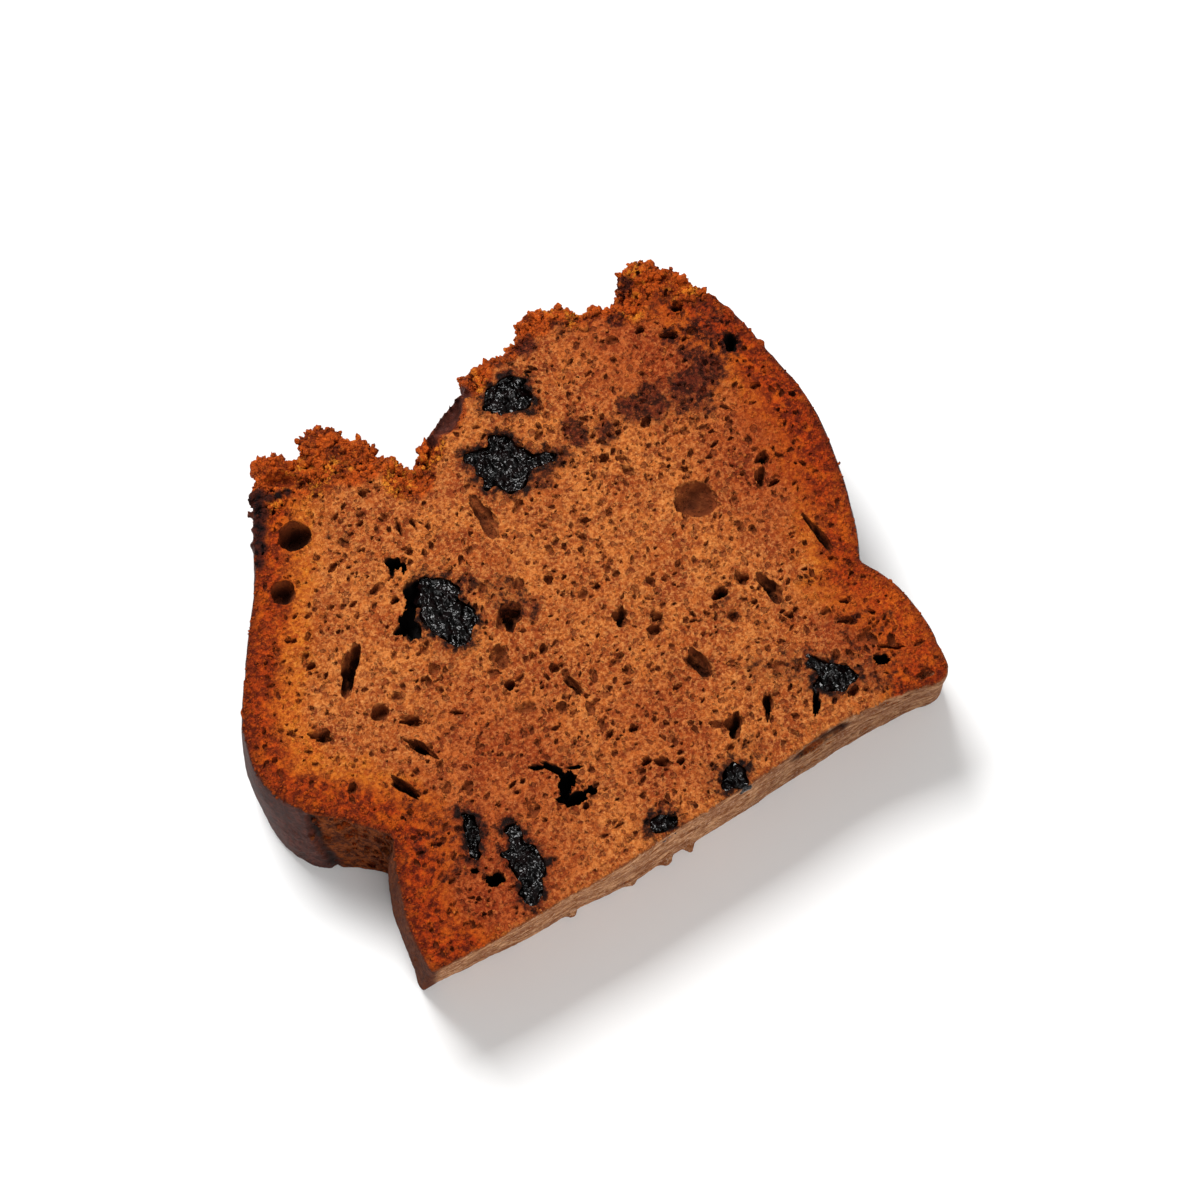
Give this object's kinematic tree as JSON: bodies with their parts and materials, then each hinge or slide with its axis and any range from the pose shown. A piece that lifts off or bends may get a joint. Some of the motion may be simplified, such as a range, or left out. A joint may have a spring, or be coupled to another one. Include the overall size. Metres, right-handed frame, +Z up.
{
  "type": "slice of banana bread",
  "caption": "Thick slice of berry banana bread with a flat base, side notches, a torn domed top and an open porous crumb, lying on a cut face.",
  "frame": {"origin": "middle of the slice's footprint, on the surface that it lies on", "axes": "+X along the loaf's flat base, +Y from the base towards the domed top, +Z up through the slice's thickness, out of the cut face that shows"},
  "size_m": [0.1113, 0.091, 0.0222],
  "materials": {
    "crumb": "soft porous brown crumb with a darker, slightly shiny baked crust",
    "berry": "dark wet baked fruit"
  },
  "bodies": {
    "root": {"slice": "crumb", "berry_top": "berry", "berry_upper": "berry", "berry_left": "berry", "berry_low_small": "berry", "berry_low": "berry", "berry_right": "berry", "berry_base": "berry", "berry_base_small": "berry"}
  },
  "joints": []
}
